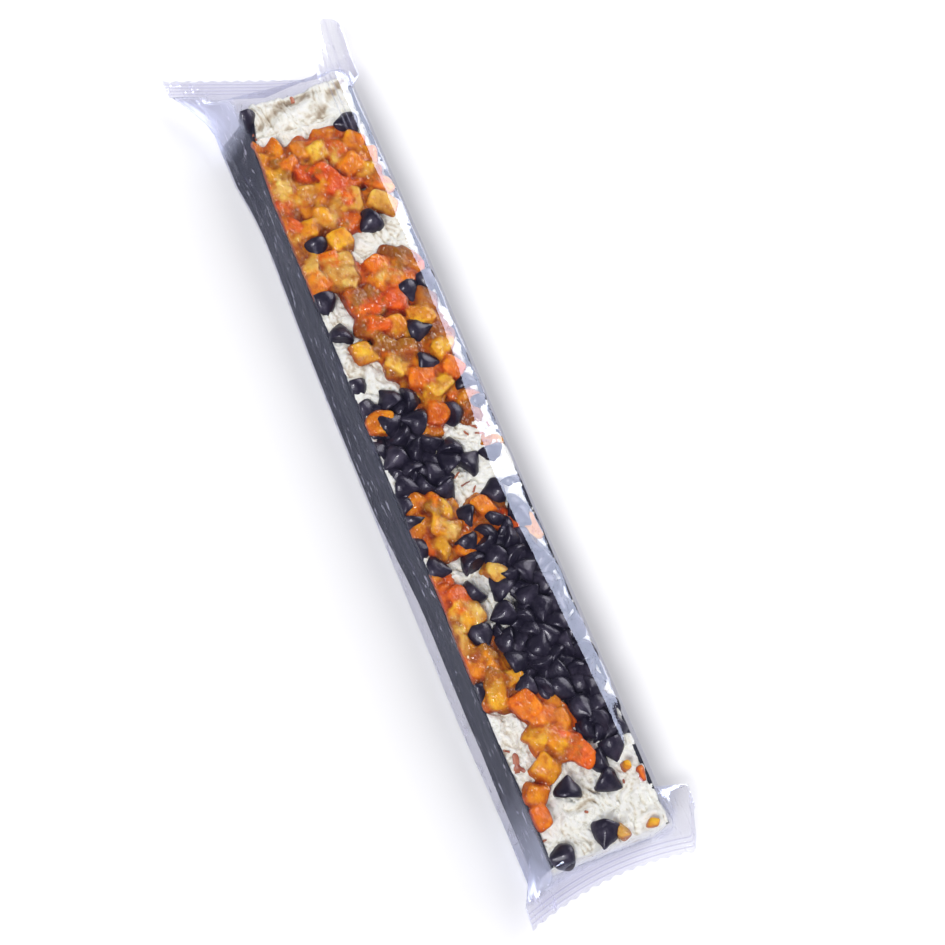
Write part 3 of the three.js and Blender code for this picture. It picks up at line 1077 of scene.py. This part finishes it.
dice_copies = []
tones = []
for number, (x, y, long, wide, turn, tone, level) in enumerate(dice_places):
    size = np.array((long, wide, DIE_HEIGHT * (0.8 + 0.5 * draw())))
    tip = Euler((0.6 * (draw() - 0.5), 0.6 * (draw() - 0.5), turn)).to_matrix()
    z = NOUGAT_HEIGHT + 0.2 + 1.8 * draw() - LEVEL_STEP * (1 - level)
    body = dented(warped(die_points, 0.2) * size, number * 2.3, size=4.5, depth=0.65)
    dice_copies.append(under_film(body @ np.array(tip).T + np.array((x, y, z))))
    tones.append(np.full(len(die_points), tone))
orange = joined_mesh("candied_orange", dice_copies, die_faces)
apply_modifier(orange, "REMESH", mode="VOXEL", voxel_size=VOXEL)
apply_modifier(orange, "SMOOTH", factor=0.5, iterations=1)

# %% [markdown]
# ## Flesh colours
# Fused pieces bleed into each other, so the colours are worked out for every point of the skin, from the
# tone of the nearest die and a little noise. They are darkened towards amber where the skin lies low
# between the dice, as painted shade, and are then averaged with their neighbours.

# %% Carry the tones over
FLESH = (
    (-0.4, (0.82, 0.54, 0.16)),
    (0.0, (0.88, 0.48, 0.022)),
    (0.3, (0.84, 0.31, 0.006)),
    (0.65, (0.86, 0.21, 0.001)),
    (1.0, (0.78, 0.1, 0.001)),
    (1.4, (0.41, 0.16, 0.006)),
)
SHALLOW = 26.0
DEEP = 23.2
DEEP_SHADE = (0.75, 0.54, 0.3)
source = np.concatenate(dice_copies)
source_tones = np.concatenate(tones)
tree_of_points = kdtree.KDTree(len(source))
for index, point in enumerate(source):
    tree_of_points.insert(point, index)
tree_of_points.balance()
skin = points_of(orange)
skin[:, 2] = np.minimum(skin[:, 2], film_top(skin[:, 0], skin[:, 1]) - 0.15)
skin = dented(skin, 4.4, size=1.7, depth=0.15)
set_points(orange, skin)
nearest = [tree_of_points.find(point)[1] for point in skin]
mottled = source_tones[nearest] + 0.22 * np.array([rough(x, y, 5, 2.7) for x, y, z in skin])
tone_stops, shades = zip(*FLESH)
mean_of = neighbour_means(orange)
flesh = [np.interp(mottled, tone_stops, channel) for channel in zip(*shades)]
# Painted shade: skin below SHALLOW is darkened by DEEP_SHADE, fully at DEEP.
sunk_shade = smooth(SHALLOW, DEEP, skin[:, 2])
flesh = [mean_of(channel * blend(1, shade, sunk_shade)) for channel, shade in zip(flesh, DEEP_SHADE)]
colour_layer = orange.data.attributes.new("flesh", "FLOAT_COLOR", "POINT")
colour_layer.data.foreach_set("color", np.stack((*flesh, np.ones(len(skin))), axis=1).ravel())
keep_creases(orange, 3)
finish_piece(orange, "candied_orange")

# %% [markdown]
# ## Candied orange finish
# Syrup makes the fruit glossy and lets light deep into it. Noise darkens the flesh in patches, and lighter
# cores are painted in as glow. Creases and steep flanks are darker as painted shade. The uneven wet
# surface catches small glints, which a coat with its own ripples gives. Here and there a pale speck
# shows, partly a sugar crystal or a bit of pith and partly a painted glint.

# %% Orange colours
BLACK = (0, 0, 0)
# The core glow is painted light, added to the flesh colour.
CORE_GLOW = (0.14, 0.32, 0.1, 1)
SUGAR_AND_GLINT = (1.0, 0.86, 0.62, 1)
orange_finish, tree, shader = new_finish("candied_orange")
flesh_colour = add_node(tree, "Attribute", attribute_name="flesh").outputs["Color"]
patches = ramp(noise_at(tree, 420, 5.0, 0.6), [(0.36, (0.84, 0.68, 0.5)), (0.5, WHITE)])
glow = ramp(noise_at(tree, 150, 2.0, 0.5), [(0.38, (0.86, 0.76, 0.6)), (0.6, WHITE)])
coloured = multiplied(flesh_colour, multiplied(patches, glow))
# Painted glow: noise lightens cores of the flesh as if lit through.
painted_glow_cores = ramp(noise_at(tree, 210, 2.0, 0.5), [(0.48, BLACK), (0.66, WHITE)])
glowing = mix_colours(painted_glow_cores, coloured, multiplied(coloured, CORE_GLOW), "ADD")
# Painted shade: creases of the orange are darker.
depth = ramp(
    times_plus(attribute_of(tree, "crease"), 0.5, 0.5),
    [(0.2, WHITE), (0.5, (0.96, 0.9, 0.8)), (0.75, (0.8, 0.6, 0.4)), (1.0, (0.58, 0.34, 0.18))],
)
# Painted shade: steep flanks are darker than the tops.
lie = add_node(tree, "TexCoord").outputs["Normal"]
slope = add_node(tree, "SeparateXYZ", {"Vector": lie}).outputs["Z"]
edges = ramp(slope, [(0.25, (0.74, 0.5, 0.3)), (0.88, WHITE)])
shaded = multiplied(glowing, multiplied(depth, edges))
# Pale specks: partly sugar crystals and pith, partly painted glints.
sugar_and_painted_glints = ramp(noise_at(tree, 850, 2.0, 0.5, (0.6, 1, 1)), [(0.67, BLACK), (0.75, (0.7, 0.7, 0.7))])
grain = bump(noise_at(tree, 700, 4.0, 0.6, (0.5, 1, 1)), 0.9, 0.001)
wet = bump(noise_at(tree, 260, 2.0, 0.5), 1.0, 0.0032)
feed(shader, {"Base Color": mix_colours(sugar_and_painted_glints, shaded, SUGAR_AND_GLINT), "Normal": grain})
feed(shader, {"Roughness": 0.3, "Specular IOR Level": 0.08, "Subsurface Weight": 0.5})
feed(shader, {"Subsurface Radius": (1.0, 0.42, 0.1), "Subsurface Scale": 0.002})
feed(shader, {"Coat Weight": 0.38, "Coat Roughness": 0.05, "Coat Normal": wet})
put_on(orange, orange_finish)

# %% [markdown]
# ## Flecks of skin
# Bits of brown nut skin and red peel stick to the nougat. They are thin scraps, so the same die is
# flattened and curled, and one mesh holds them all.

# %% Lay the flecks
FLECKS = (
    (110, -17.5, 7, 2.2, -15), (112, -17, 4, 1.4, 30), (-147.5, 1, 2.6, 1.8, 0),
    (-6, 15, 3, 0.7, 40), (-3, 16, 3.5, 0.6, 60), (-4.5, 11.5, 2.5, 0.8, 20), (0.5, 17, 3, 0.6, 80),
    (9.5, 2, 3, 0.7, 120), (13, 4, 3.5, 0.6, 100), (16, 6, 2.6, 0.7, 140), (-5, 20, 2.4, 0.6, 10),
    (142.5, 4, 4, 1.2, 80), (121, -18, 2, 0.8, 15), (133, -2, 1.4, 0.7, 60), (128, 14, 1.6, 0.6, 0),
    (137, -19, 2.5, 0.7, 100), (-136, -18, 3, 0.8, 10), (105, -19, 2.2, 0.6, 45),
)
fleck_copies = []
for number, (x, y, long, wide, turn) in enumerate(FLECKS):
    curled = die_points * np.array((long, wide, 0.5))
    curled[:, 2] += 0.25 * np.sin(2.2 * curled[:, 0]) + 0.2 * np.cos(3 * curled[:, 1])
    laid = curled @ np.array(Matrix.Rotation(math.radians(turn), 3, "Z")).T
    laid += np.array((x, y, 0))
    ground = [nougat_top(px, py) + tear(px, py) for px, py in laid[:, :2]]
    laid[:, 2] += np.array(ground) + 0.25
    fleck_copies.append(dented(laid, number * 1.3, size=1.5, depth=0.3))
flecks = joined_mesh("skin_flecks", fleck_copies, die_faces)
finish_piece(flecks, "skin_flecks", 60)
fleck_finish, tree, shader = new_finish("skin_flecks")
colours = ramp(noise_at(tree, 420, 4.0), [(0.3, (0.24, 0.04, 0.018)), (0.7, (0.52, 0.18, 0.08))])
feed(shader, {"Base Color": colours, "Roughness": 0.45})
put_on(flecks, fleck_finish)

# %% [markdown]
# ## Riding on the bar
# Nothing moves on a bar of nougat, so every piece rides on the one body and stands for the one solid.

# %% Tie the pieces to the frame
for piece, slot in (
    (film, "film"), (nougat, "nougat"), (coat, "dark_chocolate"),
    (chips, "dark_chocolate"), (orange, "candied_orange"), (flecks, "candied_orange"),
):
    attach(piece, "root")
    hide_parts("wrapped_bar")

# %% [markdown]
# ## Floor, light and camera
# A white floor runs out of the picture on all sides. The main light is a broad sun from the camera's
# side, in a faintly lilac surround that is darker overhead. A large soft box beside the right shoulder
# draws the pale band along the film, and a higher one beyond it fills the shadows without showing in
# reflections. A small bright light high up shows only as crisp glints on the chips and the syrup.

# %% Floor
bpy.ops.mesh.primitive_plane_add(size=12)
floor = bpy.context.object
floor.name = "floor"
floor_finish, tree, shader = new_finish("floor")
feed(shader, {"Base Color": (0.93, 0.93, 0.93, 1), "Roughness": 0.9, "Specular IOR Level": 0.1})
put_on(floor, floor_finish)

# %% Lights
world = bpy.data.worlds.new("surround")
world.use_nodes = True
surround = world.node_tree
way = add_node(surround, "TexCoord").outputs["Generated"]
upwards = add_node(surround, "SeparateXYZ", {"Vector": way}).outputs["Z"]
sky = ramp(upwards, [(0.25, (0.6, 0.6, 0.63)), (0.75, (0.14, 0.135, 0.17))])
feed(surround.nodes["Background"], {"Color": sky})
bpy.context.scene.world = world


def aimed(name, lamp, place, aim):
    holder = bpy.data.objects.new(name, lamp)
    holder.location = place
    holder.rotation_euler = (Vector(aim) - Vector(place)).to_track_quat("-Z", "Y").to_euler()
    bpy.context.collection.objects.link(holder)
    return holder


def soft_box(name, place, aim, width, tall, radiance, hidden_from):
    """An area light that is equally bright whatever its size and doesn't show to one kind of ray."""
    lamp = bpy.data.lights.new(name, "AREA")
    lamp.shape = "RECTANGLE"
    lamp.size = width
    lamp.size_y = tall
    lamp.energy = radiance * math.pi * width * tall
    setattr(aimed(name, lamp, place, aim), "visible_" + hidden_from, False)


soft_box("shoulder_light", (-0.38, 0.6, 0.43), (-0.38, 0, 0.43), 0.74, 0.64, 9.0, "diffuse")
soft_box("fill_light", (-0.2, 1.2, 1.4), (0, 0, 0), 1.4, 1.4, 3.0, "glossy")
soft_box("glint_light", (0.25, -0.5, 1.1), (0, 0, 0.02), 0.16, 0.16, 110.0, "diffuse")
key_lamp = bpy.data.lights.new("key_light", "SUN")
key_lamp.energy = 2.4
key_lamp.angle = math.radians(22)
aimed("key_light", key_lamp, (0.36, -0.52, 0.78), (0, 0, 0))

# %% Camera
camera_data = bpy.data.cameras.new("camera")
camera_data.lens = 83.81
camera_data.sensor_width = 36
camera = bpy.data.objects.new("camera", camera_data)
camera.location = Vector((226.45, -202.31, 719.35)) * MM
aim = Vector((6.9, 10.9, 12)) * MM - camera.location
roll = Matrix.Rotation(math.radians(23.5), 3, "Z")
camera.rotation_euler = (aim.to_track_quat("-Z", "Y").to_matrix() @ roll).to_euler()
bpy.context.collection.objects.link(camera)
bpy.context.scene.camera = camera
bpy.context.scene.view_settings.view_transform = "Standard"
print("camera and", len(bpy.data.lights), "lights")
